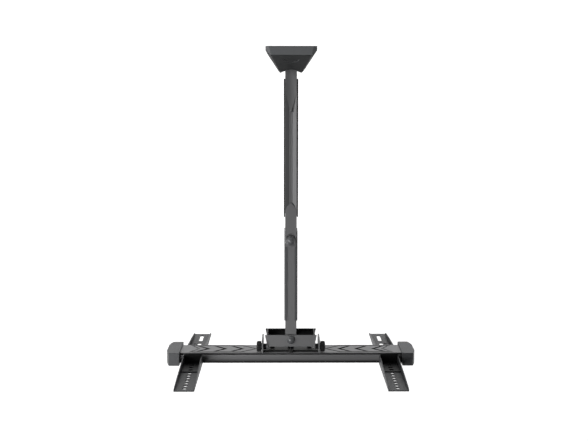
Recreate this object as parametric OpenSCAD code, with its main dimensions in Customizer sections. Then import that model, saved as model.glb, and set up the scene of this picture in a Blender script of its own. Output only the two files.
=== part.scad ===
// Full-motion television wall mount, one folding arm.
// Origin: middle of the wall plate's back face. +Z is up, the room lies towards -Y,
// and every "d" below is a distance out from the wall, so a point at d sits at Y = -d.

/* [Wall bracket] */
// Width of the steel wall plate
plate_w = 92.4; // [80:0.1:110]
// Height of the steel wall plate
plate_h = 214; // [200:1:260]
// Thickness of the wall plate
plate_t = 3; // [2:0.5:5]
// Radius of the wall plate's corners
plate_corner_r = 14; // [13.5:0.5:18]
// Spacing of the four corner wall holes, sideways
wall_hole_dx = 64; // [40:1:70]
// Spacing of the four corner wall holes, up and down
wall_hole_dz = 176; // [150:1:185]
// Spacing of the two middle wall holes, up and down
mid_hole_dz = 150; // [110:1:160]
// Radius of the wall holes
wall_hole_r = 4.5; // [3:0.5:5]
// Half width of the lugs' steel web
lug_web_half = 24; // [20:1:30]
// Radius of the lugs' round ends
lug_r = 10; // [9:0.5:11.5]

/* [Wall covers] */
// Wall thickness of the moulded covers
cover_t = 2.4; // [1.5:0.1:3]
// How far the sides of a cover run straight out
cover_side_d = 9.3; // [6:0.1:14]
// Depth of the flat end of a cover
cover_end_d = 18; // [14:0.1:24]
// How far the nose of a cover stands out past the lugs
cover_nose_past = 8; // [7:0.1:14]
// Half width of the nose
cover_nose_half = 25.6; // [22:0.1:32]
// Bevel round the flat end
cover_bevel = 4.1; // [3:0.1:5.8]
// Radius of the arch that cuts the nose back
nose_arch_r = 45; // [40:1:60]
// Radius of the round dish in a cover's sloping face
dish_r = 15; // [10:0.5:16]
// Depth of the round dish
dish_depth = 0.8; // [0.4:0.1:1.2]

/* [Arms] */
// Distance of the wall pivot from the wall
wall_pivot_d = 30; // [28:0.5:36]
// Length of the first arm, pivot to pivot
arm1_len = 353.5; // [300:0.5:420]
// Length of the second arm, pivot to pivot
arm2_len = 204.1; // [190:0.1:260]
// Width of the first arm's steel
arm1_w = 23.2; // [22:0.1:26]
// Width of the second arm's steel
arm2_w = 22.8; // [21:0.1:25]
// Height of the second arm's steel
arm2_h = 50; // [44:1:60]
// Sheet thickness of the arms and lugs
sheet_t = 3; // [2:0.5:4]
// Wall thickness of the arms' sides
arm_wall = 2.2; // [1.5:0.1:3]
// Depth of the valley pressed in the first arm's top
valley_depth = 3.8; // [2:0.1:4.5]
// Length of the pointed end of the flat tongue
tongue_point = 40; // [25:1:60]
// Where the first arm's cable cover starts, from the wall pivot
cable1_start = 30.4; // [24:0.1:40]
// How far the first arm's cable cover stops short of the elbow
cable1_stop = 48.1; // [44:0.1:60]
// Width of the first arm's cable cover
cable1_w = 28.4; // [28:0.1:32]
// Width of the second arm's cable cover
cable2_w = 26.7; // [26:0.1:29]
// Width of the bare strip along the second arm
strip_w = 15.1; // [10:0.1:18]
// How far the second arm's cable cover stops short of the head
cable2_stop = 39.2; // [30:0.1:60]

/* [Pivots] */
// Radius of the three upright pivot bolts
bolt_r = 5; // [4:0.5:6]
// Running clearance round a bolt
run_fit = 0.05; // [0.02:0.01:0.1]
// Thickness of the plastic washers
washer_t = 1.5; // [1:0.1:2]
// Radius of the plastic washers
washer_r = 10; // [9:0.5:11]
// Radius of the elbow's domed caps
elbow_cap_r = 9.3; // [9:0.1:10.5]
// Radius of the head's domed caps
head_cap_r = 8.4; // [8.2:0.1:9.5]
// Wall thickness of the domed caps
cap_t = 1.4; // [0.8:0.1:1.8]

/* [Swivel head] */
// Half width of the head's plates at the wall side
head_half = 52.8; // [52:0.1:53.5]
// Half width of the head's plates at the room side
head_front_half = 49.8; // [49.8:0.1:51]
// How far the head's plates reach back from the swivel
head_back = 9.5; // [6:0.5:10]
// How far the head's plates reach forward of the swivel
head_front = 14.2; // [13.5:0.1:14.4]
// Half width of the head over its side walls
head_side_half = 49.8; // [48:0.1:50]
// Distance of the tilt axis in front of the swivel
tilt_fwd = 14.4; // [14:0.1:15]
// Height of the tilt axis
tilt_z = 26; // [24:0.5:28]
// Radius of the head's ears round the tilt axis
ear_r = 7.8; // [7:0.1:8]
// Radius of the tilt studs
stud_r = 4; // [3:0.5:4.5]
// Half width over the tilt bracket's side plates
tilt_half = 59.2; // [57:0.1:60]
// Height of the tilt bracket's web above the level bolt
tilt_web_up = 22; // [20:1:24]
// Reach of the tilt bracket's web below the level bolt
tilt_web_down = 14; // [10:1:14]
// Radius of the tilt knobs
knob_r = 11; // [9:0.1:11.2]
// Length of the tilt knobs
knob_len = 9.4; // [8.5:0.1:14]
// Number of flutes on a tilt knob
knob_flutes = 12; // [8:1:14]

/* [Crossbar] */
// Distance of the bar's wall side in front of the swivel
bar_fwd = 26.4; // [26:0.1:29]
// Depth of the bar
bar_depth = 22.5; // [20:0.1:26]
// Height of the bar
bar_h = 62; // [60:1:80]
// Half length of the steel bar
bar_half = 240; // [230:1:300]
// Thickness of the face panel
panel_t = 2.2; // [2:0.1:3]
// Width of the hook groove behind the face panel
groove_w = 2; // [1.6:0.1:2.4]
// Thickness of the bar's sheet
bar_t = 2; // [1.5:0.1:2.5]
// Depth of the bar's flat top behind the groove
bar_top_flat = 9.2; // [6:0.1:10]
// Depth of the slope in front of the flat top
bar_slope_run = 4.6; // [3:0.1:6]
// Depth of the recess in the face panel
recess_depth = 0.8; // [0.4:0.1:1.2]
// Width of the line pressed round the chevrons
recess_line_w = 2.4; // [1.5:0.1:4]
// Spacing of the chevron cut-outs
chevron_step = 35; // [32:1:40]
// Distance of the first chevron's tip from the middle
chevron_first = 97; // [92:1:104]
// Number of chevrons on each side
chevron_count = 3; // [2:1:3]
// Half height of a chevron
chevron_half = 19; // [14:0.5:21]
// Depth of a chevron
chevron_run = 20; // [14:0.5:22]
// Width of a chevron's stroke
chevron_stroke = 6; // [4:0.5:7]
// How far an end cap stands out past the bar's end
cap_beyond = 15.5; // [10:0.5:24]
// How far an end cap covers the bar
cap_grip = 13.5; // [9:0.5:13.5]
// Half height of an end cap
cap_half_h = 46; // [42:1:56]
// How far the end cap stands out behind the face panel
cap_back = 3.2; // [2:0.1:6]
// Greatest level adjustment, in degrees
level_turn = 3; // [2:0.5:4]

/* [Screen rails] */
// Distance between the two rails, middle to middle
rail_spacing = 400; // [200:10:400]
// Length of a rail
rail_len = 430; // [425:1:460]
// Width of a rail
rail_w = 38.9; // [34:0.1:42]
// Sheet thickness of a rail
rail_t = 2; // [1.5:0.1:2.5]
// Height of a rail's flanges beside the bar
flange_h = 16.6; // [12:0.1:17]
// Height of a rail's flanges at its ends
flange_end_h = 4; // [3:0.5:8]
// Spacing of the screen's holes, from the rails' top holes to their lower slots
screen_dz = 400; // [380:1:400]
// Radius of the round screen holes
screen_hole_r = 4.25; // [3:0.05:4.5]
// Number of round screen holes in a row
screen_holes = 10; // [8:1:10]
// Half width of the long slots
slot_r = 4; // [3:0.1:4.5]
// Clearance between a rail's hook and the bar
hook_gap = 0.3; // [0.2:0.05:0.5]

/* [Hidden] */
$fn = 48;

steel = "dimgray";
dark = "darkslategray";
black = [0.1, 0.1, 0.1];
bright = "silver";

// Small gap between flat faces that slide on each other
slide_gap = 0.1;
// Gap between a moulded cover and what it fits round
cover_gap = 0.3;
// A cut runs this far past the face it opens
past = 1;

// Heights, from the second arm outwards: washer, lug, washer, lug
arm2_top = arm2_h / 2;
fork_in = arm2_top + washer_t + 2 * slide_gap;
fork_out = fork_in + sheet_t;
lug_in = fork_out + washer_t + 2 * slide_gap;
lug_out = lug_in + sheet_t;

elbow_d = wall_pivot_d + arm1_len;
head_d = elbow_d + arm2_len;
tilt_d = head_d + tilt_fwd;
bar_d = head_d + bar_fwd;
panel_back_d = bar_d + panel_t;
channel_d = panel_back_d + groove_w;
bar_front_d = bar_d + bar_depth;
bore_r = bolt_r + run_fit;

// Covers
cover_half = plate_w / 2 + cover_gap + cover_t;
cover_top = plate_h / 2 + cover_gap + cover_t;
cover_rim = fork_out + 2.1;
cover_nose_top = lug_out + cover_gap + cover_t + 1;
cover_nose_d = wall_pivot_d + lug_r + cover_nose_past;
cover_end_half = cover_half - cover_bevel - 5.4;
cover_round = 1.6;
nose_corner = 3;
nose_arch_d = cover_nose_d - cover_nose_past + cover_t + cover_gap;

// The sloping face of a cover, from its flat end down to its nose
slope_run = cover_nose_d - cover_end_d;
slope_fall = cover_top - cover_nose_top;
slope_turn = atan2(slope_fall, slope_run);
slope_inset = cover_round * (sin(slope_turn) + cos(slope_turn) - 1);
dish_d = cover_end_d + 7;
dish_z = cover_top - (dish_d - cover_end_d) * slope_fall / slope_run;

// Bolt ends
hex_flat = 8;
bolt_head_h = 6;
nut_h = 8;
cap_head_h = 3.6;

// Corners of the line round the chevrons
recess_tip_x = 70;
recess_shoulder_x = 101;
recess_far_x = 208;
recess_notch_x = 191;
recess_half_h = bar_h / 2 - 5;

// Pads between the face panel and the channel
pad_w = 12;
pad_h = bar_h - 16;

// Tilt and level
tilt_web_t = 3;
tilt_web_d = bar_d - slide_gap - tilt_web_t;
tilt_plate_t = 3;
knob_collar = 1.2;
knob_crown = 3.2;
stud_past = 7.5;
head_wall_t = 3;
level_r = 4;
level_head_r = 6.5;
level_head_h = 2.4;
level_nut_h = 6;
level_screw_x = 38;
level_screw_r = 2.5;
level_screw_head_r = 5;
level_screw_head_h = 2.5;
level_slot_r = 3;
level_slot_half = level_screw_x * sin(level_turn) + 1;

// Rails
rail_half = rail_w / 2;
rail_x = rail_spacing / 2;
notch_half = bar_h / 2 + hook_gap + 1;
hole_pitch = 50 / 3;
hook_t = 1.8;
hook_half = rail_half - rail_t - 0.2;
hook_plate_top = 95;
hook_lip_t = 1.2;
hook_lip_h = 3.4;
clip_len = 26;
clip_shelf_t = 5;
lock_screw_r = 2.5;
lock_head_r = 5;

// Slots and the small hole near a rail's lower end, measured up from the lowest screen screw
lower_slot_up = 25.2;
lower_slot_half = 20;
upper_slot_up = 98;
upper_slot_half = 27;
small_hole_up = 76;
small_hole_out = 9;
small_hole_r = 3.3;

function at(d) = -d;

module move_d(d) {
    translate([0, at(d), 0]) children();
}

// Extrudes a drawing in (x, z) outwards, from d0 to d1
module along_d(d0, d1) {
    translate([0, at(d0), 0]) rotate([90, 0, 0]) linear_extrude(d1 - d0) children();
}

// Extrudes a drawing in (y, z) sideways, from x0 to x1
module along_x(x0, x1) {
    translate([x0, 0, 0]) rotate([90, 0, 90]) linear_extrude(x1 - x0) children();
}

// Extrudes a drawing in (x, y) upwards, from z0 to z1
module along_z(z0, z1) {
    translate([0, 0, z0]) linear_extrude(z1 - z0) children();
}

module both_sides() {
    children();
    mirror([1, 0, 0]) children();
}

module top_and_bottom() {
    children();
    mirror([0, 0, 1]) children();
}

module rounded_rect(w, h, r) {
    square([w - 2 * r, h], center = true);
    square([w, h - 2 * r], center = true);
    for (x = [-1, 1], y = [-1, 1]) translate([x * (w / 2 - r), y * (h / 2 - r)]) circle(r);
}

// A slot in (x, z), centred, with round ends up and down
module upright_slot(half_len, r) {
    square([2 * r, 2 * half_len], center = true);
    for (z = [-1, 1]) translate([0, z * half_len]) circle(r);
}

module hexagon(flat) {
    circle(r = flat / cos(30), $fn = 6);
}

// Wall bracket

module wall_plate() {
    color(steel) along_d(0, plate_t) difference() {
        rounded_rect(plate_w, plate_h, plate_corner_r);
        for (x = [-1, 1], z = [-1, 1])
            translate([x * wall_hole_dx / 2, z * wall_hole_dz / 2]) circle(wall_hole_r);
        for (z = [-1, 1]) translate([0, z * mid_hole_dz / 2]) circle(wall_hole_r);
    }
}

module lug_outline() {
    difference() {
        union() {
            polygon([
                [-lug_web_half, at(plate_t)], [lug_web_half, at(plate_t)],
                [lug_web_half, at(plate_t + 10)], [lug_r, at(wall_pivot_d)],
                [-lug_r, at(wall_pivot_d)], [-lug_web_half, at(plate_t + 10)]
            ]);
            move_d(wall_pivot_d) circle(lug_r);
        }
        move_d(wall_pivot_d) circle(bore_r);
    }
}

module wall_lugs() {
    color(steel) {
        along_d(plate_t, plate_t + sheet_t) square([2 * lug_web_half, 2 * lug_out], center = true);
        top_and_bottom() along_z(lug_in, lug_out) lug_outline();
    }
}

// Corner points of a cover, drawn in by "inset" on every outside face
module cover_form(inset, front, rim) {
    hull() {
        both_sides() {
            for (p = [
                [cover_half, front, cover_top - cover_bevel],
                [cover_half, cover_side_d, cover_top - cover_bevel],
                [cover_half - cover_bevel, front, cover_top],
                [cover_end_half, cover_end_d, cover_top],
                [cover_nose_half - nose_corner, cover_nose_d, cover_nose_top]
            ]) cover_corner(p, inset);
            for (p = [
                [cover_half, front],
                [cover_half, cover_side_d],
                [cover_nose_half, cover_nose_d - nose_corner],
                [cover_nose_half - nose_corner, cover_nose_d]
            ]) translate([p[0] - inset - cover_round, at(p[1] - inset - cover_round), rim])
                cylinder(r = cover_round, h = 1, $fn = 16);
        }
    }
}

module cover_corner(p, inset) {
    translate([p[0] - inset - cover_round, at(p[1] - inset - cover_round), p[2] - inset - cover_round])
        sphere(r = cover_round, $fn = 16);
}

// The wide arch that cuts the nose back; the cover's inside keeps "wall" away from it
module nose_arch(wall) {
    along_z(cover_rim - 2 * past, cover_top)
        move_d(nose_arch_d + nose_arch_r) circle(nose_arch_r + wall, $fn = 96);
}

// Round dish, square to the sloping face
module face_dish() {
    translate([0, at(dish_d), dish_z]) rotate([slope_turn, 0, 0])
        translate([0, 0, -slope_inset - dish_depth]) cylinder(r = dish_r, h = 10, $fn = 96);
}

module cover_shell() {
    difference() {
        intersection() {
            cover_form(0, -2, cover_rim);
            translate([-cover_half, at(cover_nose_d), cover_rim])
                cube([2 * cover_half, cover_nose_d, cover_top]);
        }
        difference() {
            cover_form(cover_t, -12, cover_rim - 2);
            nose_arch(cover_t);
        }
        nose_arch(0);
        face_dish();
    }
}

module upper_cover() {
    color(dark) cover_shell();
}

module lower_cover() {
    color(dark) mirror([0, 0, 1]) cover_shell();
}

module wall_pivot_bolt() {
    color(bright) move_d(wall_pivot_d) {
        along_z(-lug_out - nut_h - 3, lug_out) circle(bolt_r);
        along_z(lug_out, lug_out + bolt_head_h) hexagon(hex_flat);
    }
}

module wall_pivot_nut() {
    color(bright) move_d(wall_pivot_d) along_z(-lug_out - nut_h, -lug_out) difference() {
        hexagon(hex_flat);
        circle(bore_r);
    }
}

module washer_pair(d, inner) {
    color(black) move_d(d) top_and_bottom()
        along_z(inner + slide_gap, inner + slide_gap + washer_t) difference() {
            circle(washer_r);
            circle(bore_r);
        }
}

module wall_washers() {
    washer_pair(wall_pivot_d, fork_out);
}

// First arm

arm1_half = arm1_w / 2;
arm1_floor_d = wall_pivot_d + cable1_start + 4;
beam1_end_d = elbow_d - cable1_stop;
tongue_tip_d = wall_pivot_d + 96.1;
arch_tip_d = elbow_d - 78.2;
arch_len = 23;
knuckle_len = 13;
crescent_back = 5.6;
crescent_r = 8.86;

module arm1_plan() {
    move_d(wall_pivot_d) circle(arm1_half);
    move_d(elbow_d) circle(arm1_half);
    translate([-arm1_half, at(elbow_d)]) square([arm1_w, arm1_len]);
}

// The valley in the top, with its two beads left standing along the middle
module valley_section() {
    bottom = fork_out - valley_depth;
    polygon([
        [-arm1_half + 0.6, fork_out], [-3, bottom], [-2.4, bottom],
        [-1.6, bottom + 1], [-0.8, bottom], [0.8, bottom], [1.6, bottom + 1],
        [2.4, bottom], [3, bottom], [arm1_half - 0.6, fork_out],
        [arm1_half - 0.6, fork_out + past], [-arm1_half + 0.6, fork_out + past]
    ]);
}

module tongue_plan() {
    polygon([
        [-arm1_half, at(tongue_tip_d - tongue_point)], [arm1_half, at(tongue_tip_d - tongue_point)],
        [0.6, at(tongue_tip_d)], [-0.6, at(tongue_tip_d)]
    ]);
    // The elbow end of the flat top is a tall arch
    intersection() {
        translate([arch_len * 0.62, at(arch_tip_d + arch_len)]) circle(arch_len * 1.13);
        translate([-arch_len * 0.62, at(arch_tip_d + arch_len)]) circle(arch_len * 1.13);
        translate([-arm1_half, at(arch_tip_d + arch_len)]) square([arm1_w, arch_len]);
    }
}

module first_arm() {
    cavity_half = arm1_half - arm_wall;
    cavity_top = fork_out - arm_wall;
    color(steel) difference() {
        along_z(-fork_out, fork_out) arm1_plan();
        // The valley, which leaves the pointed and the arched tongues standing
        difference() {
            along_d(tongue_tip_d - tongue_point, arch_tip_d + arch_len) valley_section();
            along_z(fork_out - valley_depth - past, fork_out + 2 * past) tongue_plan();
        }
        // Inside of the pressed channel
        along_d(wall_pivot_d + knuckle_len, beam1_end_d + past) polygon([
            [-cavity_half, -fork_out + sheet_t], [cavity_half, -fork_out + sheet_t],
            [cavity_half, cavity_top - 0.6], [3, cavity_top - valley_depth],
            [-3, cavity_top - valley_depth], [-cavity_half, cavity_top - 0.6]
        ]);
        // Open underside, which the cable cover closes
        along_d(arm1_floor_d, beam1_end_d - 10)
            translate([-cavity_half, -fork_out - past]) square([2 * cavity_half, sheet_t + 2 * past]);
        // Fork at the elbow
        along_z(-fork_in, fork_in) translate([-arm1_w, at(elbow_d + arm1_w)])
            square([2 * arm1_w, elbow_d + arm1_w - beam1_end_d]);
        move_d(wall_pivot_d) along_z(-fork_out - past, fork_out + past) circle(bore_r);
        move_d(elbow_d) along_z(-fork_out - past, fork_out + past) circle(bore_r);
        // Crescent opening behind the elbow cap
        along_z(fork_in - past, fork_out + past) difference() {
            move_d(elbow_d - crescent_back) circle(crescent_r);
            move_d(elbow_d) circle(elbow_cap_r + 0.5);
        }
    }
}

module first_cable_cover() {
    start = wall_pivot_d + cable1_start;
    inner = arm1_half + cover_gap;
    outer = cable1_w / 2;
    floor_top = -fork_out - slide_gap;
    color(black) {
        along_d(start, beam1_end_d) difference() {
            translate([-outer, floor_top - 1.3]) square([cable1_w, 1.3 + fork_out * 2 - 4]);
            translate([-inner, floor_top]) square([2 * inner, 3 * fork_out]);
        }
        // Ribs that snap inside the channel
        both_sides() along_d(arm1_floor_d + 4, beam1_end_d - 14)
            translate([arm1_half - arm_wall - cover_gap - 1.6, floor_top - 0.5]) square([1.6, 7]);
    }
}

module bolt_with_low_head(d, head_r) {
    color(bright) move_d(d) {
        along_z(-fork_out - cap_head_h, fork_out) circle(bolt_r);
        along_z(fork_out, fork_out + cap_head_h) circle(head_r);
    }
}

module low_nut(d, outer_r) {
    color(bright) move_d(d) along_z(-fork_out - cap_head_h, -fork_out) difference() {
        circle(outer_r);
        circle(bore_r);
    }
}

// A domed cap that stands on the plate at height z0
module domed_cap(d, r) {
    color(steel) translate([0, at(d), fork_out]) difference() {
        intersection() {
            sphere(r);
            translate([-r, -r, 0]) cube([2 * r, 2 * r, r]);
        }
        sphere(r - cap_t);
    }
}

elbow_head_r = 6.2;
head_head_r = 5.7;

module elbow_bolt() {
    bolt_with_low_head(elbow_d, elbow_head_r);
}

module elbow_nut() {
    low_nut(elbow_d, elbow_head_r);
}

module elbow_top_cap() {
    domed_cap(elbow_d, elbow_cap_r);
}

module elbow_bottom_cap() {
    mirror([0, 0, 1]) domed_cap(elbow_d, elbow_cap_r);
}

module elbow_washers() {
    washer_pair(elbow_d, arm2_top);
}

// Second arm

arm2_half = arm2_w / 2;
cable2_start_d = elbow_d - 19;
cable2_lip_d = elbow_d + arm1_half + 1.6;
cable2_end_d = head_d - cable2_stop;

module second_arm() {
    cavity_half = arm2_half - arm_wall;
    color(steel) difference() {
        along_z(-arm2_top, arm2_top) {
            move_d(elbow_d) circle(arm2_half);
            move_d(head_d) circle(arm2_half);
            translate([-arm2_half, at(head_d)]) square([arm2_w, arm2_len]);
        }
        along_d(elbow_d + arm1_half + 4, head_d - arm2_half - 3)
            translate([-cavity_half, -arm2_top + sheet_t])
                square([2 * cavity_half, arm2_h - sheet_t - arm_wall]);
        along_d(cable2_lip_d + 6, cable2_end_d - 6)
            translate([-cavity_half, -arm2_top - past]) square([2 * cavity_half, sheet_t + 2 * past]);
        for (d = [elbow_d, head_d]) move_d(d) along_z(-arm2_top - past, arm2_top + past) circle(bore_r);
    }
}

module second_cable_cover() {
    inner = arm2_half + cover_gap;
    outer = cable2_w / 2;
    skin = 1.2;
    edge = arm2_top + slide_gap;
    color(dark) {
        // Side walls, which start beside the elbow
        both_sides() along_d(cable2_start_d, cable2_end_d)
            translate([inner, -arm2_top]) square([outer - inner, arm2_h]);
        // Lips over the arm's top edges
        both_sides() along_d(cable2_lip_d, cable2_end_d) polygon([
            [strip_w / 2, edge], [outer, edge - slide_gap], [outer, edge + skin * 0.4],
            [outer - 1.2, edge + skin], [strip_w / 2, edge + skin]
        ]);
        both_sides() along_d(cable2_lip_d, cable2_end_d)
            translate([inner, -arm2_top - 1]) square([outer - inner, arm2_h + 1 + slide_gap]);
        along_d(cable2_lip_d, cable2_end_d)
            translate([-outer, -edge - skin]) square([cable2_w, skin]);
        both_sides() along_d(cable2_lip_d + 10, cable2_end_d - 10)
            translate([arm2_half - arm_wall - cover_gap - 1.6, -edge - 0.5]) square([1.6, 7]);
    }
}

// Swivel head

head_low_front_d = head_d + head_front - 5.5;

module head_plate_plan() {
    taper_end_d = tilt_d - ear_r - 1;
    polygon([
        [-head_half, at(head_d - head_back)], [head_half, at(head_d - head_back)],
        [head_front_half, at(taper_end_d)], [head_front_half, at(head_d + head_front)],
        [-head_front_half, at(head_d + head_front)], [-head_front_half, at(taper_end_d)]
    ]);
}

// Side wall of the head, drawn in (y, z)
module head_side_outline() {
    polygon([
        [at(head_d - head_back), -fork_out], [at(head_low_front_d), -fork_out],
        [at(head_d + head_front), fork_out], [at(head_d - head_back), fork_out]
    ]);
    translate([at(tilt_d), tilt_z]) circle(ear_r);
    polygon([
        [at(tilt_d + ear_r * 0.2), tilt_z - ear_r * 0.98], [at(tilt_d), tilt_z + ear_r],
        [at(tilt_d - 16), fork_out], [at(tilt_d - 12), 0]
    ]);
}

module head_bracket() {
    color(steel) difference() {
        union() {
            along_z(fork_in, fork_out) head_plate_plan();
            along_z(-fork_out, -fork_in) intersection() {
                head_plate_plan();
                translate([-head_half, at(head_low_front_d)])
                    square([2 * head_half, head_low_front_d - head_d + head_back]);
            }
            both_sides() along_x(head_side_half - head_wall_t, head_side_half) head_side_outline();
        }
        move_d(head_d) along_z(-fork_out - past, fork_out + past) circle(bore_r);
        both_sides() along_x(head_side_half - head_wall_t - past, head_side_half + past)
            translate([at(tilt_d), tilt_z]) circle(stud_r + run_fit);
    }
}

module head_bolt() {
    bolt_with_low_head(head_d, head_head_r);
}

module head_nut() {
    low_nut(head_d, head_head_r);
}

module head_top_cap() {
    domed_cap(head_d, head_cap_r);
}

module head_bottom_cap() {
    mirror([0, 0, 1]) domed_cap(head_d, head_cap_r);
}

module head_washers() {
    washer_pair(head_d, arm2_top);
}

// Tilt bracket

tilt_inner_half = tilt_half - tilt_plate_t;
web_front_d = tilt_web_d + tilt_web_t;

tilt_side_back_d = head_d - 2;
tilt_side_top = tilt_z + 12;
tilt_side_bottom = -tilt_web_down - 16;

// Side plate of the tilt bracket, drawn in (y, z)
module tilt_side_outline() {
    polygon([
        [at(tilt_side_back_d + 2), tilt_side_top - 2], [at(tilt_side_back_d), tilt_side_top - 20],
        [at(tilt_side_back_d), -tilt_web_down], [at(tilt_side_back_d + 12), tilt_side_bottom],
        [at(web_front_d), tilt_side_bottom], [at(web_front_d), tilt_side_top],
        [at(tilt_side_back_d + 6), tilt_side_top]
    ]);
}

tab_half = 4;
tab_t = 2.5;
tab_z = fork_out + cover_gap;
tab_tip_d = head_d + head_front + 1.4;

module tilt_bracket() {
    color(steel) difference() {
        union() {
            along_d(tilt_web_d, web_front_d) translate([-tilt_half, -tilt_web_down])
                square([2 * tilt_half, tilt_web_up + tilt_web_down]);
            both_sides() along_x(tilt_inner_half, tilt_half) tilt_side_outline();
            // Pointed tab at the middle of the top edge, beside the level mark
            along_d(tilt_web_d, web_front_d) translate([-tab_half, tilt_web_up - 1])
                square([2 * tab_half, tab_z + tab_t - tilt_web_up + 1]);
            along_z(tab_z, tab_z + tab_t) polygon([
                [-tab_half, at(web_front_d)], [tab_half, at(web_front_d)],
                [0.4, at(tab_tip_d)], [-0.4, at(tab_tip_d)]
            ]);
        }
        along_x(-tilt_half - past, tilt_half + past) translate([at(tilt_d), tilt_z])
            circle(stud_r + run_fit);
        along_d(tilt_web_d - past, web_front_d + past) {
            circle(level_r + run_fit);
            for (x = [-1, 1]) translate([x * level_screw_x, 0])
                upright_slot(level_slot_half, level_slot_r);
        }
    }
}

module tilt_spacers() {
    color(bright) both_sides() along_x(head_side_half + slide_gap, tilt_inner_half - slide_gap)
        translate([at(tilt_d), tilt_z]) difference() {
            circle(ear_r - 2);
            circle(stud_r + run_fit);
        }
}

module left_tilt_stud() {
    color(bright) mirror([1, 0, 0]) stud_rod();
}

module right_tilt_stud() {
    color(bright) stud_rod();
}

module stud_rod() {
    along_x(head_side_half - head_wall_t, tilt_half + stud_past) translate([at(tilt_d), tilt_z]) circle(stud_r);
}

// Half section of a knob, radius against distance out from the side plate
module knob_section() {
    knob_end = knob_collar + knob_len;
    polygon(concat(
        [[0, slide_gap], [knob_r - 4, slide_gap], [knob_r - 4, knob_collar], [knob_r, knob_collar]],
        [for (a = [0 : 15 : 90])
            [knob_r - knob_crown * (1 - cos(a)), knob_end - knob_crown * (1 - sin(a))]],
        [[0, knob_end]]
    ));
}

module knob_form() {
    flute_r = knob_r * sin(180 / knob_flutes) * 0.62;
    difference() {
        translate([tilt_half, at(tilt_d), tilt_z]) rotate([0, 90, 0]) rotate_extrude() knob_section();
        translate([0, at(tilt_d), tilt_z]) for (k = [0 : knob_flutes - 1])
            rotate([k * 360 / knob_flutes, 0, 0]) translate([0, knob_r + flute_r * 0.25, 0])
                along_x(tilt_half + knob_collar, tilt_half + knob_collar + knob_len + past)
                    circle(flute_r);
        along_x(tilt_half - past, tilt_half + stud_past + 0.2) translate([at(tilt_d), tilt_z])
            circle(stud_r + run_fit);
    }
}

module left_tilt_knob() {
    color(black) mirror([1, 0, 0]) knob_form();
}

module right_tilt_knob() {
    color(black) knob_form();
}

// Level adjustment

module level_bolt() {
    color(bright) {
        along_d(tilt_web_d - level_head_h, tilt_web_d) circle(level_head_r);
        along_d(tilt_web_d, channel_d + bar_t + 7) circle(level_r);
    }
}

module level_nut() {
    start = channel_d + bar_t + slide_gap;
    color(bright) along_d(start, start + level_nut_h) difference() {
        hexagon(6.5);
        circle(level_r + run_fit);
    }
}

module level_screws() {
    color(bright) both_sides() translate([level_screw_x, 0, 0]) {
        along_d(tilt_web_d - level_screw_head_h - slide_gap, tilt_web_d - slide_gap)
            circle(level_screw_head_r);
        along_d(tilt_web_d - slide_gap - 0.5, channel_d + bar_t + 4) circle(level_screw_r);
    }
}

// Crossbar

bar_top = bar_h / 2;
channel_top = bar_top - 0.6;
slope_drop = 2.4;
slope_end_d = channel_d + bar_top_flat + bar_slope_run;

// Section of the outer channel, drawn in (y, z); its back lies against the wall side
module channel_section() {
    difference() {
        polygon([
            [at(channel_d), -channel_top], [at(channel_d), channel_top],
            [at(channel_d + bar_top_flat), channel_top], [at(slope_end_d), channel_top - slope_drop],
            [at(slope_end_d), -channel_top + slope_drop], [at(channel_d + bar_top_flat), -channel_top]
        ]);
        polygon([
            [at(channel_d + bar_t), -channel_top + bar_t], [at(channel_d + bar_t), channel_top - bar_t],
            [at(channel_d + bar_top_flat), channel_top - bar_t],
            [at(slope_end_d + past), channel_top - slope_drop - bar_t],
            [at(slope_end_d + past), -channel_top + slope_drop + bar_t],
            [at(channel_d + bar_top_flat), -channel_top + bar_t]
        ]);
    }
}

module bar_bores(from_d, to_d) {
    along_d(from_d - past, to_d + past) {
        circle(level_r + run_fit);
        for (x = [-1, 1]) translate([x * level_screw_x, 0]) circle(level_screw_r + run_fit);
    }
}

module bar_channel() {
    color(steel) difference() {
        along_x(-bar_half, bar_half) channel_section();
        bar_bores(channel_d, channel_d + bar_t);
        // Windows behind the chevrons
        both_sides() along_d(channel_d - past, channel_d + bar_t + past)
            translate([chevron_first - 5, -chevron_half - 4])
                square([(chevron_count - 1) * chevron_step + chevron_run + chevron_stroke + 10,
                    2 * chevron_half + 8]);
    }
}

// The inner channel nests in the outer one and closes the bar towards the screen
module bar_inner_channel() {
    top = channel_top - slope_drop - bar_t - slide_gap;
    back = channel_d + bar_top_flat;
    color(black) along_x(-bar_half, bar_half) difference() {
        polygon([
            [at(back), -top], [at(back), top], [at(slope_end_d + 0.2), top],
            [at(slope_end_d + 0.2), top + bar_t], [at(bar_front_d), top + bar_t],
            [at(bar_front_d), -top - bar_t], [at(slope_end_d + 0.2), -top - bar_t],
            [at(slope_end_d + 0.2), -top]
        ]);
        polygon([
            [at(back - past), -top + bar_t], [at(back - past), top - bar_t],
            [at(bar_front_d - bar_t), top - bar_t], [at(bar_front_d - bar_t), -top + bar_t]
        ]);
    }
}

// One chevron, its tip at x and pointing to the middle, drawn in (x, z)
module chevron(x) {
    polygon([
        [x, 0], [x + chevron_run, chevron_half], [x + chevron_run + chevron_stroke, chevron_half],
        [x + chevron_stroke, 0], [x + chevron_run + chevron_stroke, -chevron_half],
        [x + chevron_run, -chevron_half]
    ]);
}

// Outline of the recess round the chevrons, drawn in by "inset"
near_lean = (recess_shoulder_x - recess_tip_x) / recess_half_h;
far_lean = (recess_far_x - recess_notch_x) / recess_half_h;
near_step = sqrt(1 + near_lean * near_lean);
far_step = sqrt(1 + far_lean * far_lean);

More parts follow.
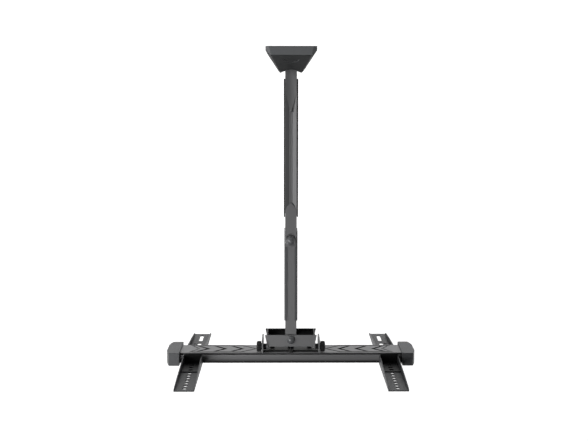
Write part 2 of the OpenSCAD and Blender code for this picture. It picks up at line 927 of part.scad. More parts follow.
module face_recess(inset) {
    shoulder = [recess_shoulder_x + inset * (near_step - near_lean), recess_half_h - inset];
    far = [recess_far_x - inset * (far_step + far_lean), recess_half_h - inset];
    polygon([
        [recess_tip_x + inset * near_step, 0], shoulder, far,
        [recess_notch_x - inset * far_step, 0], [far[0], -far[1]], [shoulder[0], -shoulder[1]]
    ]);
}

module bar_face_panel() {
    color(steel) difference() {
        union() {
            along_d(bar_d, panel_back_d) square([2 * bar_half, bar_h], center = true);
            // Pads that seat the panel on the channel
            both_sides() for (x = [recess_tip_x + 5, bar_half - 50, bar_half - 15])
                translate([x, 0, 0]) along_d(panel_back_d - 0.2, channel_d)
                    square([pad_w, pad_h], center = true);
            along_d(panel_back_d - 0.2, channel_d)
                square([2 * level_screw_x + pad_w, pad_h], center = true);
        }
        both_sides() {
            along_d(bar_d - past, bar_d + recess_depth) difference() {
                face_recess(0);
                face_recess(recess_line_w);
            }
            for (k = [0 : chevron_count - 1])
                along_d(bar_d - past, channel_d + past) chevron(chevron_first + k * chevron_step);
        }
        bar_bores(bar_d, channel_d);
    }
}

// End cap: the front outline and the plan outline cut from one block
cap_wall = 2.2;
cap_bulge_r = 141;
cap_plan_r = 42;
cap_edge = 0.6;
cap_half = bar_half + cap_beyond;
cap_start = bar_half - cap_grip;
cap_inner = bar_half + 1;
cap_ring_top = bar_top + 2;
cap_d = bar_d - cap_back;
cap_front_d = bar_front_d + 1.1;

// The cap's outer form, drawn in by "inset", from x0 outwards
module cap_solid(inset, x0) {
    intersection() {
        along_d(cap_d + inset, cap_front_d - inset) intersection() {
            translate([x0, -cap_half_h + inset])
                square([cap_half - x0 + past, 2 * (cap_half_h - inset)]);
            translate([cap_half - cap_bulge_r, 0]) circle(cap_bulge_r - inset);
        }
        along_z(-cap_half_h - past, cap_half_h + past) intersection() {
            translate([x0 - past, at(cap_front_d + past)])
                square([cap_half - x0 + 2 * past, cap_front_d - cap_d + 2 * past]);
            translate([cap_half - cap_plan_r + cap_edge, at(cap_d + 14)]) circle(cap_plan_r - inset);
        }
    }
}

module cap_form() {
    difference() {
        cap_solid(0, cap_start);
        // Hollow inside, round the ring that grips the bar
        difference() {
            cap_solid(cap_wall, cap_start + 3);
            translate([cap_start, at(cap_front_d), -cap_ring_top])
                cube([cap_inner - cap_start, cap_front_d - cap_d, 2 * cap_ring_top]);
        }
        // Room for the bar's end
        translate([cap_start - past, at(bar_front_d + cover_gap), -bar_top - cover_gap])
            cube([cap_inner - cap_start + past, bar_depth + 2 * cover_gap, bar_h + 2 * cover_gap]);
    }
}

module left_end_cap() {
    color(steel) mirror([1, 0, 0]) cap_form();
}

module right_end_cap() {
    color(steel) cap_form();
}

// Screen rails

rail_back_d = bar_front_d + 0.2;
rail_front_d = rail_back_d + rail_t;

// Flange of a rail, drawn in (y, z)
module rail_flange_outline() {
    top_and_bottom_2d() polygon([
        [at(rail_front_d), 0], [at(rail_back_d), 0], [at(rail_back_d), notch_half],
        [at(rail_back_d - flange_h), notch_half], [at(rail_back_d - flange_h), notch_half + 22],
        [at(rail_back_d - flange_end_h - 5), rail_len / 2 - 60],
        [at(rail_back_d - flange_end_h), rail_len / 2 - 8],
        [at(rail_back_d - flange_end_h + 3), rail_len / 2], [at(rail_front_d), rail_len / 2]
    ]);
}

module top_and_bottom_2d() {
    children();
    mirror([0, 1]) children();
}

module rail_form(outward) {
    color(black) difference() {
        union() {
            along_d(rail_back_d, rail_front_d) square([rail_w, rail_len], center = true);
            both_sides() along_x(rail_half - rail_t, rail_half) rail_flange_outline();
        }
        along_d(rail_back_d - past, rail_front_d + past) {
            for (k = [0 : screen_holes - 1])
                translate([0, screen_dz / 2 - k * hole_pitch]) circle(screen_hole_r);
            translate([0, lower_slot_up - screen_dz / 2]) upright_slot(lower_slot_half, slot_r);
            translate([0, upper_slot_up - screen_dz / 2]) upright_slot(upper_slot_half, slot_r);
            translate([outward * small_hole_out, small_hole_up - screen_dz / 2]) circle(small_hole_r);
        }
    }
}

// The hook lies on the rail's web, over the bar's top, and down into the groove
module hook_form() {
    top = channel_top + hook_gap;
    lip_d = panel_back_d + (groove_w - hook_lip_t) / 2;
    color(black) difference() {
        along_x(-hook_half, hook_half) polygon([
            [at(rail_back_d), top], [at(rail_back_d), hook_plate_top],
            [at(rail_back_d - hook_t), hook_plate_top], [at(rail_back_d - hook_t), top + hook_t],
            [at(lip_d), top + hook_t], [at(lip_d), top - hook_lip_h],
            [at(lip_d + hook_lip_t), top - hook_lip_h], [at(lip_d + hook_lip_t), top]
        ]);
        along_d(rail_back_d - hook_t - past, rail_back_d + past)
            for (k = [0 : screen_holes - 1])
                if (screen_dz / 2 - k * hole_pitch < hook_plate_top + 6)
                    translate([0, screen_dz / 2 - k * hole_pitch]) circle(screen_hole_r + 0.6);
    }
}

clip_top = -channel_top - hook_gap;
clip_back_d = channel_d + 3;
lock_screw_d = clip_back_d + 5.5;

module lower_clip_form() {
    shelf_bottom = clip_top - clip_shelf_t;
    color(black) difference() {
        along_x(-hook_half, hook_half) polygon([
            [at(rail_back_d), clip_top], [at(rail_back_d), clip_top - clip_len],
            [at(rail_back_d - hook_t), clip_top - clip_len], [at(rail_back_d - hook_t), shelf_bottom],
            [at(clip_back_d), shelf_bottom], [at(clip_back_d), clip_top]
        ]);
        translate([0, at(lock_screw_d), shelf_bottom - past])
            cylinder(r = lock_screw_r + run_fit, h = clip_shelf_t + 2 * past);
        along_d(rail_back_d - hook_t - past, rail_back_d + past)
            translate([0, clip_top - clip_len + 10]) circle(lock_screw_r + run_fit);
    }
}

module lock_screw_form() {
    head_top = clip_top - clip_shelf_t - 4;
    color(bright) translate([0, at(lock_screw_d), 0]) {
        along_z(head_top, clip_top - slide_gap) circle(lock_screw_r);
        along_z(head_top - 5, head_top) circle(lock_head_r);
    }
}

module left_rail() {
    translate([-rail_x, 0, 0]) rail_form(-1);
}

module right_rail() {
    translate([rail_x, 0, 0]) rail_form(1);
}

module left_hook() {
    translate([-rail_x, 0, 0]) hook_form();
}

module right_hook() {
    translate([rail_x, 0, 0]) hook_form();
}

module left_lower_clip() {
    translate([-rail_x, 0, 0]) lower_clip_form();
}

module right_lower_clip() {
    translate([rail_x, 0, 0]) lower_clip_form();
}

module left_lock_screw() {
    translate([-rail_x, 0, 0]) lock_screw_form();
}

module right_lock_screw() {
    translate([rail_x, 0, 0]) lock_screw_form();
}

wall_plate();
wall_lugs();
upper_cover();
lower_cover();
wall_pivot_bolt();
wall_pivot_nut();
wall_washers();
first_arm();
first_cable_cover();
elbow_bolt();
elbow_nut();
elbow_top_cap();
elbow_bottom_cap();
elbow_washers();
second_arm();
second_cable_cover();
head_bracket();
head_bolt();
head_nut();
head_top_cap();
head_bottom_cap();
head_washers();
tilt_bracket();
tilt_spacers();
level_bolt();
level_nut();
left_tilt_stud();
left_tilt_knob();
right_tilt_stud();
right_tilt_knob();
bar_channel();
bar_inner_channel();
bar_face_panel();
level_screws();
left_end_cap();
right_end_cap();
left_rail();
left_hook();
left_lower_clip();
left_lock_screw();
right_rail();
right_hook();
right_lower_clip();
right_lock_screw();
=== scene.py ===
"""Full-motion television wall mount: finishes and rounded edges on its frame."""

import logging
import math
from collections.abc import Callable, Iterable
from dataclasses import dataclass, field
from enum import Enum

import bmesh
import bpy
from mathutils import Matrix, Vector


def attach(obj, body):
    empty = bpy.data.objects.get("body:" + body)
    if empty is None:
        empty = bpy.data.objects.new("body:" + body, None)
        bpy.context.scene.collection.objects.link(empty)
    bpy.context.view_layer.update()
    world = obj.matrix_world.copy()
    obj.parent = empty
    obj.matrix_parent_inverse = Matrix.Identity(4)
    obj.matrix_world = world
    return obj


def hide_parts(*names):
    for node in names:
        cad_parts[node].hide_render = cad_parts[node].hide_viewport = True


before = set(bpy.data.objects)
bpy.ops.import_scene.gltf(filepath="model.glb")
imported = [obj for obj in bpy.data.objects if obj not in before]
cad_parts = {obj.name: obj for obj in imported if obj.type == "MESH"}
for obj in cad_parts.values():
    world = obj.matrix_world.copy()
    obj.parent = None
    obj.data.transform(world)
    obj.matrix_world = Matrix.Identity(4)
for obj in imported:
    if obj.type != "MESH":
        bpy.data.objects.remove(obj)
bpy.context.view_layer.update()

MM = 0.001
LOG = logging.getLogger("wall_mount")

# Sockets of a Mix node that mixes two colours
MIX_FIRST, MIX_SECOND, MIX_COLOUR = 6, 7, 2
# A coat's cloudy patches, each about 55 mm across
CLOUDS_PER_METRE = 18.0
# Height of a coat's grain
GRAIN_HEIGHT_MM = 0.1
# How far the roughness falls in a grain's hollow and rises on its crest
ROUGHNESS_FALL, ROUGHNESS_RISE = 0.05, 0.07
# Corners of a solid's loose triangles that lie this near are one corner
WELD_MM = 0.002
# Triangles that turn less than this are one flat face
FLAT_DEG = 0.6
# Neighbours that turn between these are facets of one curved surface
FACET_DEG = (1.0, 35.0)
# A plate is at least this many times as large as the first facet of its bend
PLATE_TO_FACET = 4
# Edges that turn more than this are shaded as creases
CREASE_DEG = 52.0

FaceTest = Callable[[bpy.types.MeshPolygon], bool]


def linear(hex_colour: str) -> tuple[float, float, float, float]:
    """Turns an sRGB hex colour into Blender's linear RGBA.

    Args:
        hex_colour: Six hex digits with a leading hash.

    Returns:
        Linear red, green, blue and an alpha of one.
    """
    channels = [int(hex_colour[i : i + 2], 16) / 255 for i in (1, 3, 5)]
    values = [c / 12.92 if c <= 0.04045 else ((c + 0.055) / 1.055) ** 2.4 for c in channels]
    return (values[0], values[1], values[2], 1.0)


def add_node(
    tree: bpy.types.NodeTree, kind: str, settings: dict | None = None, links: dict | None = None
) -> bpy.types.Node:
    """Adds one node with its settings and links.

    Args:
        tree: The node tree that gets the node.
        kind: Blender's type name of the node.
        settings: Values by name, for an input socket or else for an attribute.
        links: Output sockets by the name of the input that they feed.

    Returns:
        The new node.
    """
    node = tree.nodes.new(kind)
    for name, value in (settings or {}).items():
        if name in node.inputs:
            node.inputs[name].default_value = value
        else:
            setattr(node, name, value)
    for name, socket in (links or {}).items():
        tree.links.new(socket, node.inputs[name])
    return node


@dataclass(frozen=True)
class Coating:
    """A paint, plating or moulded skin, with a fine grain that the light catches.

    Attributes:
        name: The finish in a maker's words, or the painted light or shade that it carries.
        slot: The record's material slot of a piece with this main finish. Not used.
        colour: Its middle colour, sRGB hex.
        light_colour: The lighter colour of its cloudy variation, sRGB hex.
        roughness: Middle roughness.
        grain_mm: Size of one grain of its texture.
        relief: Strength of the grain in the bump.
        metallic: How much of a metal it is.
        gloss: Strength of the reflection, 0.5 on plain plastic or paint.
    """

    name: str
    slot: str
    colour: str
    light_colour: str
    roughness: float
    grain_mm: float
    relief: float
    metallic: float = 0.0
    gloss: float = 0.5

    def material(self) -> bpy.types.Material:
        """Builds the finish, once for all the pieces that have it.

        Returns:
            The material.
        """
        found = bpy.data.materials.get(self.name)
        if found:
            return found
        made = bpy.data.materials.new(self.name)
        made.use_nodes = True
        tree = made.node_tree
        tree.nodes.clear()
        place = add_node(tree, "ShaderNodeTexCoord")
        # Broad patches, where the coat is a little thicker or more worn
        cloud = add_node(
            tree,
            "ShaderNodeTexNoise",
            {"Scale": CLOUDS_PER_METRE, "Detail": 3.0, "Roughness": 0.6},
            {"Vector": place.outputs["Object"]},
        )
        grain = add_node(
            tree,
            "ShaderNodeTexNoise",
            {"Scale": 1 / (self.grain_mm * MM), "Detail": 2.0, "Roughness": 0.55},
            {"Vector": place.outputs["Object"]},
        )
        tint = add_node(
            tree, "ShaderNodeMix", {"data_type": "RGBA"}, {"Factor": cloud.outputs["Fac"]}
        )
        tint.inputs[MIX_FIRST].default_value = linear(self.colour)
        tint.inputs[MIX_SECOND].default_value = linear(self.light_colour)
        sheen = add_node(
            tree,
            "ShaderNodeMapRange",
            {
                "From Min": 0.3,
                "From Max": 0.7,
                "To Min": self.roughness - ROUGHNESS_FALL,
                "To Max": self.roughness + ROUGHNESS_RISE,
            },
            {"Value": grain.outputs["Fac"]},
        )
        bump = add_node(
            tree,
            "ShaderNodeBump",
            {"Strength": self.relief, "Distance": GRAIN_HEIGHT_MM * MM},
            {"Height": grain.outputs["Fac"]},
        )
        shader = add_node(
            tree,
            "ShaderNodeBsdfPrincipled",
            {"Metallic": self.metallic, "Specular IOR Level": self.gloss},
            {
                "Base Color": tint.outputs[MIX_COLOUR],
                "Roughness": sheen.outputs["Result"],
                "Normal": bump.outputs["Normal"],
            },
        )
        add_node(tree, "ShaderNodeOutputMaterial", {}, {"Surface": shader.outputs["BSDF"]})
        return made


class Finish(Enum):
    """The finishes of the mount, some of which carry painted light or shade."""

    # Baked polyester powder on pressed steel: a satin skin with a faint orange peel
    POWDER_COAT = Coating(
        "powder_coated_steel", "powder_coated_steel", "#4a4b4d", "#515254", 0.42, 0.7, 0.35
    )
    # The same coat in black on hooks and clips, and as painted shade on insides: dull, so that hollows
    # read as dark
    BLACK_COAT_AND_SHADE = Coating(
        "black_coat_and_painted_shade", "black_steel", "#0d0d0e", "#121213", 0.5, 0.7, 0.35, gloss=0.3
    )
    # Dark coat of the screen rails, which reads lighter where the light rakes it
    RAIL_COAT = Coating(
        "rail_powder_coated_steel", "black_steel", "#2b2c2e", "#313234", 0.46, 0.7, 0.3, gloss=0.3
    )
    # Moulded ABS with a fine spark-eroded texture: soft and even, without a clear highlight
    MOULDED_GREY = Coating(
        "spark_textured_abs_grey", "moulded_grey", "#4f5052", "#535456", 0.5, 0.5, 0.5, gloss=0.35
    )
    # The same in black on the knobs, dark enough for their flutes to part in shadow
    MOULDED_BLACK = Coating(
        "spark_textured_abs_black", "moulded_black", "#101011", "#151516", 0.5, 0.5, 0.5, gloss=0.4
    )
    # Painted light on the wall covers' grey ABS: painted paler, so that their flat tops stand out from
    # the arm
    COVER_PAINTED_LIGHT = Coating(
        "abs_grey_painted_light", "moulded_grey", "#626365", "#686a6c", 0.5, 0.5, 0.5, gloss=0.4
    )
    # Painted shade on the covers' sloping fronts, which face the room: the same moulding, darker and
    # duller than their tops, with a coarser texture
    COVER_PAINTED_SHADE = Coating(
        "abs_grey_painted_shade", "moulded_grey", "#2c2d2e", "#333435", 0.62, 0.8, 0.6, gloss=0.15
    )
    # Matt ABS of the cable cover under the first arm, black from every side
    MATT_BLACK = Coating(
        "matt_abs_black", "moulded_black", "#060607", "#090909", 0.75, 0.5, 0.5, gloss=0.06
    )
    # ABS from a polished mould on the small domed caps: one bright soft highlight
    POLISHED_GREY = Coating(
        "polished_abs_grey", "moulded_grey", "#5c5d5f", "#606163", 0.24, 1.0, 0.05
    )
    # Smooth moulded nylon of the washers: dark, with a waxy sheen
    NYLON = Coating("moulded_nylon", "washer_nylon", "#232324", "#28282a", 0.4, 1.0, 0.1)
    # Zinc plate with a clear passivation: a bright metal, a little cloudy
    ZINC = Coating(
        "zinc_plated_steel", "zinc_steel", "#9c9d9b", "#b3b4b1", 0.32, 0.4, 0.15, metallic=1.0
    )
    # Zinc plate with a black passivation beside the knobs: a dark satin metal
    BLACK_ZINC = Coating(
        "black_passivated_zinc_steel", "zinc_steel", "#28282a", "#343435", 0.38, 0.4, 0.15, metallic=1.0
    )


def edge_is_sharp(edge: bmesh.types.BMEdge, limit: float) -> bool:
    """Tells whether an outer edge turns by more than the limit, in radians."""
    return len(edge.link_faces) == 2 and edge.calc_face_angle_signed(0.0) > limit


def face_is_curved(face: bmesh.types.BMFace) -> bool:
    """Tells whether a face is a facet of a curved surface.

    Args:
        face: A face of the joined mesh.

    Returns:
        True if it turns a little towards a neighbour of its own order of size.
    """
    least, most = (math.radians(turn) for turn in FACET_DEG)
    area = face.calc_area()
    for edge in face.edges:
        if len(edge.link_faces) != 2:
            continue
        turn = abs(edge.calc_face_angle_signed(0.0))
        other = edge.link_faces[0] if edge.link_faces[1] is face else edge.link_faces[1]
        if least < turn < most and area < PLATE_TO_FACET * other.calc_area():
            return True
    return False


@dataclass
class SubAssembly:
    """Pieces that ride on named bodies, each with its finish and its edge rounding.

    Attributes:
        edge_mm: Width that an ordinary outer edge is rounded over.
        small_edge_mm: The same on screws, knobs and thin covers.
        fine_edge_mm: The same on washers and domed caps.
        sharp_deg: Turn of an edge, in degrees, above which it is rounded.
        made: Names of the finished pieces.
    """

    edge_mm: float = 0.5
    small_edge_mm: float = 0.3
    fine_edge_mm: float = 0.2
    sharp_deg: float = 38.0
    made: list[str] = field(default_factory=list)

    def keep(self, piece: bpy.types.Object, body: str, finish: Finish) -> None:
        """Gives a finished piece its material and body, and reports it.

        Args:
            piece: The piece, in place.
            body: The CAD body that it rides on.
            finish: Its finish.
        """
        piece.data.materials.clear()
        piece.data.materials.append(finish.value.material())
        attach(piece, body)
        self.made.append(piece.name)
        LOG.info("%s rides on %s in %s", piece.name, body, finish.value.name)

    def paint_shade(self, piece: bpy.types.Object, finish: Finish, chosen: FaceTest) -> None:
        """Paints shade on some faces of a piece in another finish, such as a black inside.

        Args:
            piece: The dressed piece.
            finish: The finish of the chosen faces, which carries the painted shade.
            chosen: Tells for a face whether it gets the finish.
        """
        piece.data.materials.append(finish.value.material())
        for face in piece.data.polygons:
            if chosen(face):
                face.material_index = 1

    def settle(self, mesh: bmesh.types.BMesh, name: str) -> bpy.types.Object:
        """Turns a bmesh into an object at the origin, with creases where it turns hard.

        Args:
            mesh: The finished mesh, which is freed.
            name: The piece's name.

        Returns:
            The new object, linked to the scene.
        """
        data = bpy.data.meshes.new(name)
        mesh.to_mesh(data)
        mesh.free()
        # The copied solid's stored corner normals no longer fit its joined faces
        stored = data.attributes.get("custom_normal")
        if stored:
            data.attributes.remove(stored)
        data.set_sharp_from_angle(angle=math.radians(CREASE_DEG))
        piece = bpy.data.objects.new(name, data)
        bpy.context.scene.collection.objects.link(piece)
        weighted = piece.modifiers.new("flat_faces_stay_flat", "WEIGHTED_NORMAL")
        weighted.keep_sharp = True
        return piece

    def rounded_copy(self, node: str, edge_mm: float) -> bmesh.types.BMesh:
        """Copies a node's mesh, joins its loose triangles and rounds its outer edges.

        Args:
            node: The CAD node.
            edge_mm: Width that its outer edges are rounded over.

        Returns:
            The rounded mesh.
        """
        mesh = bmesh.new()
        mesh.from_mesh(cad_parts[node].data)
        bmesh.ops.remove_doubles(mesh, verts=mesh.verts, dist=WELD_MM * MM)
        bmesh.ops.dissolve_limit(
            mesh, angle_limit=math.radians(FLAT_DEG), verts=mesh.verts, edges=mesh.edges,
            use_dissolve_boundaries=False,
        )
        for face in mesh.faces:
            face.smooth = face_is_curved(face)
        limit = math.radians(self.sharp_deg)
        sharp = [edge for edge in mesh.edges if edge_is_sharp(edge, limit)]
        if sharp:
            rounding = bmesh.ops.bevel(
                mesh, geom=sharp, offset=edge_mm * MM, offset_type="OFFSET", affect="EDGES",
                segments=2, profile=0.5, material=-1, clamp_overlap=False,
            )
            for face in rounding["faces"]:
                face.smooth = True
        bmesh.ops.recalc_face_normals(mesh, faces=mesh.faces)
        return mesh

    def dress(
        self, node: str, body: str, finish: Finish, edge_mm: float | None = None
    ) -> bpy.types.Object:
        """Replaces a CAD node by its copy with rounded edges.

        Args:
            node: The CAD node.
            body: The body that it rides on.
            finish: Its finish.
            edge_mm: Width that its edges are rounded over, or None for an ordinary edge.

        Returns:
            The piece.
        """
        width = self.edge_mm if edge_mm is None else edge_mm
        piece = self.settle(self.rounded_copy(node, width), f"{node}_dressed")
        self.keep(piece, body, finish)
        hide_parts(node)
        return piece

    def dress_alike(
        self, nodes: Iterable[str], body: str, finish: Finish, edge_mm: float | None = None
    ) -> None:
        """Dresses several nodes of one body in one finish, as dress() does.

        Args:
            nodes: The CAD nodes.
            body: The body that they ride on.
            finish: Their finish.
            edge_mm: Width that their edges are rounded over, or None for ordinary edges.
        """
        for node in nodes:
            self.dress(node, body, finish, edge_mm)


@dataclass
class WallBracket(SubAssembly):
    """The steel plate and lugs on the wall, with their two moulded covers.

    Attributes:
        cover_edge_mm: Rounding of the covers' edges.
        front_lean: Least part of a face's normal towards the room on a cover's sloping front.
    """

    cover_edge_mm: float = 0.4
    front_lean: float = 0.35

    def in_front_shade(self, face: bpy.types.MeshPolygon) -> bool:
        """Tells whether a cover's face leans towards the room and so gets painted shade."""
        return face.normal.y < -self.front_lean

    def build(self) -> None:
        """Dresses the plate, the lugs, the covers and the pivot."""
        self.dress_alike(("wall_plate", "wall_lugs"), "wall", Finish.POWDER_COAT)
        for node in ("upper_cover", "lower_cover"):
            cover = self.dress(node, "wall", Finish.COVER_PAINTED_LIGHT, self.cover_edge_mm)
            # The covers' room-facing fronts get painted shade in a darker finish
            self.paint_shade(cover, Finish.COVER_PAINTED_SHADE, self.in_front_shade)
        self.dress_alike(("wall_pivot_bolt", "wall_pivot_nut"), "wall", Finish.ZINC)
        self.dress("wall_washers", "wall", Finish.NYLON, self.fine_edge_mm)


@dataclass
class FirstArm(SubAssembly):
    """The long pressed arm with its cable cover and the elbow pivot."""

    def build(self) -> None:
        """Dresses the arm, its cover and the elbow's bolt, nut, caps and washers."""
        body = "arm_one"
        caps = ("elbow_top_cap", "elbow_bottom_cap")
        self.dress("first_arm", body, Finish.POWDER_COAT)
        self.dress("first_cable_cover", body, Finish.MATT_BLACK, self.small_edge_mm)
        self.dress_alike(("elbow_bolt", "elbow_nut"), body, Finish.ZINC)
        self.dress_alike(caps, body, Finish.POLISHED_GREY, self.fine_edge_mm)
        self.dress("elbow_washers", body, Finish.NYLON, self.fine_edge_mm)


@dataclass
class SecondArm(SubAssembly):
    """The short arm with its cable cover."""

    def build(self) -> None:
        """Dresses the arm and its cover."""
        self.dress("second_arm", "arm_two", Finish.POWDER_COAT)
        self.dress("second_cable_cover", "arm_two", Finish.MOULDED_GREY, self.small_edge_mm)


@dataclass
class SwivelHead(SubAssembly):
    """The head that swivels on the second arm.

    Attributes:
        plate_edge_mm: Rounding of the bracket's edges.
        outer_lean: Least part of an outer plate face's normal away from the middle.
    """

    plate_edge_mm: float = 0.4
    outer_lean: float = 0.3

    def inside(self, face: bpy.types.MeshPolygon) -> bool:
        """Tells whether a face is neither an outer top nor an outer bottom."""
        return math.copysign(1.0, face.center.z) * face.normal.z < self.outer_lean

    def build(self) -> None:
        """Dresses the head and its pivot."""
        body = "head"
        caps = ("head_top_cap", "head_bottom_cap")
        bracket = self.dress("head_bracket", body, Finish.POWDER_COAT, self.plate_edge_mm)
        # The fold-over plates are grey, and the box between them is black as painted shade
        self.paint_shade(bracket, Finish.BLACK_COAT_AND_SHADE, self.inside)
        self.dress_alike(("head_bolt", "head_nut"), body, Finish.ZINC)
        self.dress_alike(caps, body, Finish.POLISHED_GREY, self.fine_edge_mm)
        self.dress("head_washers", body, Finish.NYLON, self.fine_edge_mm)


@dataclass
class TiltBracket(SubAssembly):
    """The bracket that tilts on the head, with its two clamping knobs.

    Attributes:
        web_half_mm: Half the width of the web between the side plates.
    """

    web_half_mm: float = 50.0

    def on_web(self, face: bpy.types.MeshPolygon) -> bool:
        """Tells whether a face lies between the side plates."""
        return abs(face.center.x) < self.web_half_mm * MM

    def build(self) -> None:
        """Dresses the bracket, the spacers, the level bolt and both knobs."""
        fittings = ("tilt_spacers", "level_bolt", "level_nut")
        bracket = self.dress("tilt_bracket", "tilt", Finish.POWDER_COAT)
        # The web and its shelf are black as painted shade, and the side plates are grey
        self.paint_shade(bracket, Finish.BLACK_COAT_AND_SHADE, self.on_web)
        self.dress_alike(fittings, "tilt", Finish.BLACK_ZINC, self.small_edge_mm)
        for side in ("left", "right"):
            body = f"{side}_knob"
            self.dress(f"{side}_tilt_stud", body, Finish.BLACK_ZINC)
            self.dress(f"{side}_tilt_knob", body, Finish.MOULDED_BLACK, self.small_edge_mm)


@dataclass
class Crossbar(SubAssembly):
    """The bar of two nested channels, its face panel and its end caps.

    Attributes:
        groove_edge_mm: Rounding of the panel's edges, which widens its grooves to the eye.
        cap_edge_mm: Rounding of the end caps' edges.
        groove_half_mm: Half the height on the panel that the grooves keep within.
        face_lean: Least part of a face's normal towards the wall on the channel's back.
        groove_lean: The same on the panel's flat faces, on either side.
    """

    groove_edge_mm: float = 0.9
    cap_edge_mm: float = 0.8
    groove_half_mm: float = 29.0
    face_lean: float = 0.9
    groove_lean: float = 0.97

    def on_back(self, face: bpy.types.MeshPolygon) -> bool:
        """Tells whether a face of the channel looks at the wall."""
        return face.normal.y > self.face_lean

    def in_groove(self, face: bpy.types.MeshPolygon) -> bool:
        """Tells whether a face of the panel lies in a groove and not on its outline."""
        within = abs(face.center.z) < self.groove_half_mm * MM
        return within and abs(face.normal.y) < self.groove_lean

    def build(self) -> None:
        """Dresses the channels, the panel, the level screws and the caps."""
        body = "bar"
        caps = ("left_end_cap", "right_end_cap")
        channel = self.dress("bar_channel", body, Finish.POWDER_COAT)
        # The channel's back is black as painted shade, so that the panel's openings read as dark lines
        self.paint_shade(channel, Finish.BLACK_COAT_AND_SHADE, self.on_back)
        self.dress("bar_inner_channel", body, Finish.BLACK_COAT_AND_SHADE)
        panel = self.dress("bar_face_panel", body, Finish.POWDER_COAT, self.groove_edge_mm)
        # The sunk edges of the chevrons and of the border lines are black as painted shade
        self.paint_shade(panel, Finish.BLACK_COAT_AND_SHADE, self.in_groove)
        self.dress("level_screws", body, Finish.BLACK_ZINC, self.small_edge_mm)
        self.dress_alike(caps, body, Finish.MOULDED_GREY, self.cap_edge_mm)


@dataclass
class ScreenRails(SubAssembly):
    """The two rails that the screen is screwed to, with their hooks and lower clips.

    Attributes:
        hook_edge_mm: Rounding of the hooks' and the clips' edges.
    """

    hook_edge_mm: float = 0.4

    def build(self) -> None:
        """Dresses both rails and what holds them on the bar."""
        for side in ("left", "right"):
            body = f"{side}_screen_rail"
            holders = (f"{side}_hook", f"{side}_lower_clip")
            self.dress(f"{side}_rail", body, Finish.RAIL_COAT)
            # The hooks and clips are black; the black of the hooks' plates on the rails' webs is partly
            # painted shade beside the bar
            self.dress_alike(holders, body, Finish.BLACK_COAT_AND_SHADE, self.hook_edge_mm)
            self.dress(f"{side}_lock_screw", body, Finish.ZINC, self.small_edge_mm)


@dataclass(frozen=True)
class SoftBox:
    """One soft light of the studio.

    Attributes:
        name: The light's name.
        place: Where it stands, in metres.
        size: Its width and height, in metres.
        power: Its power in watts.
    """

    name: str
    place: tuple[float, float, float]
    size: tuple[float, float]
    power: float

    def build(self, aim: tuple[float, float, float]) -> None:
        """Adds the light, turned towards the mount.

        Args:
            aim: The point that it faces, in metres.
        """
        data = bpy.data.lights.new(self.name, "AREA")
        data.shape = "RECTANGLE"
        data.size, data.size_y = self.size
        data.energy = self.power
        lamp = bpy.data.objects.new(self.name, data)
        lamp.location = self.place
        away = Vector(self.place) - Vector(aim)
        lamp.rotation_euler = away.to_track_quat("Z", "Y").to_euler()
        bpy.context.scene.collection.objects.link(lamp)


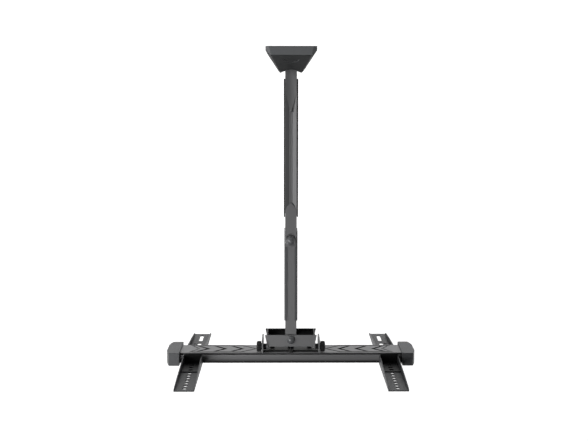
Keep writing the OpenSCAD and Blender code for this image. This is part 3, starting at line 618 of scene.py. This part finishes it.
@dataclass
class Studio:
    """The camera at the photograph's angle, the floor and the soft lights.

    Attributes:
        camera_at: Camera position in metres.
        tip_deg: Tilt of the view from straight down, towards the room.
        pan_deg: Turn of the view towards +X.
        focal_px: Focal length in pixels of the photograph's width.
        width_px: The photograph's width.
        sensor_mm: Width of the camera's sensor.
        view_depth: How far the camera sees, in metres.
        floor_z: Height of the floor.
        floor_half: Half the floor's width, in metres.
        floor_glow: The floor's own light, which keeps it as white as the photograph's ground.
        aim: The point of the mount that the lights face.
        sky_strength: Light of the room around the mount.
        lights: The soft lights.
    """

    camera_at: tuple[float, float, float] = (-0.01177, -0.08138, 1.98515)
    tip_deg: float = 7.5923
    pan_deg: float = 0.5192
    focal_px: float = 983.0
    width_px: float = 588.0
    sensor_mm: float = 36.0
    view_depth: float = 50.0
    floor_z: float = -1.1
    floor_half: float = 12.0
    floor_glow: float = 0.8
    aim: tuple[float, float, float] = (0.0, -0.4, 0.0)
    sky_strength: float = 0.02
    lights: tuple[SoftBox, ...] = (
        SoftBox("left_soft_box", (-2.4, 0.3, 1.5), (1.6, 1.6), 36.0),
        SoftBox("right_strip", (2.2, -0.1, 1.1), (0.35, 2.0), 3.0),
        SoftBox("wall_side_box", (-0.3, 2.4, 1.3), (2.2, 0.9), 9.0),
        SoftBox("overhead_box", (-0.85, -0.95, 1.7), (0.8, 0.8), 18.5),
    )

    def camera(self) -> None:
        """Places the camera and makes it the scene's own."""
        tip, pan = math.radians(self.tip_deg), math.radians(self.pan_deg)
        down, ahead = math.cos(tip), math.sin(tip)
        forward = Vector((math.sin(pan), -ahead * math.cos(pan), -down * math.cos(pan)))
        right = Vector((math.cos(pan), ahead * math.sin(pan), down * math.sin(pan)))
        up = right.cross(forward)
        data = bpy.data.cameras.new("photo_camera")
        data.sensor_width = self.sensor_mm
        data.lens = self.focal_px / self.width_px * self.sensor_mm
        data.clip_end = self.view_depth
        camera = bpy.data.objects.new("photo_camera", data)
        turn = Matrix((right, up, -forward)).transposed()
        camera.matrix_world = Matrix.Translation(self.camera_at) @ turn.to_4x4()
        bpy.context.scene.collection.objects.link(camera)
        bpy.context.scene.camera = camera

    def floor(self) -> None:
        """Lays the plain pale floor."""
        mesh = bmesh.new()
        bmesh.ops.create_grid(mesh, x_segments=1, y_segments=1, size=self.floor_half)
        bmesh.ops.translate(mesh, verts=mesh.verts, vec=(0, 0, self.floor_z))
        data = bpy.data.meshes.new("floor")
        mesh.to_mesh(data)
        mesh.free()
        floor = bpy.data.objects.new("floor", data)
        bpy.context.scene.collection.objects.link(floor)
        # Matt white paper: a bright even ground without a reflection of the mount
        paper = bpy.data.materials.new("pale_paper")
        paper.use_nodes = True
        shader = paper.node_tree.nodes["Principled BSDF"]
        shader.inputs["Base Color"].default_value = linear("#f4f4f4")
        shader.inputs["Roughness"].default_value = 0.9
        shader.inputs["Emission Color"].default_value = linear("#ffffff")
        shader.inputs["Emission Strength"].default_value = self.floor_glow
        data.materials.append(paper)

    def sky(self) -> None:
        """Makes the dim white room around the mount."""
        world = bpy.data.worlds.new("pale_room")
        world.use_nodes = True
        background = world.node_tree.nodes["Background"]
        background.inputs["Color"].default_value = linear("#ffffff")
        background.inputs["Strength"].default_value = self.sky_strength
        bpy.context.scene.world = world

    def build(self) -> None:
        """Sets up the camera, the floor, the lights and the sky."""
        bpy.context.scene.view_settings.view_transform = "Standard"
        self.camera()
        self.floor()
        for light in self.lights:
            light.build(self.aim)
        self.sky()


def main() -> None:
    """Builds the studio and every sub-assembly."""
    logging.basicConfig(level=logging.INFO, format="%(name)s: %(message)s")
    Studio().build()
    parts = [
        WallBracket(), FirstArm(), SecondArm(), SwivelHead(), TiltBracket(), Crossbar(), ScreenRails(),
    ]
    for part in parts:
        part.build()
        LOG.info("%s: %d pieces", type(part).__name__, len(part.made))


if __name__ == "__main__":
    main()
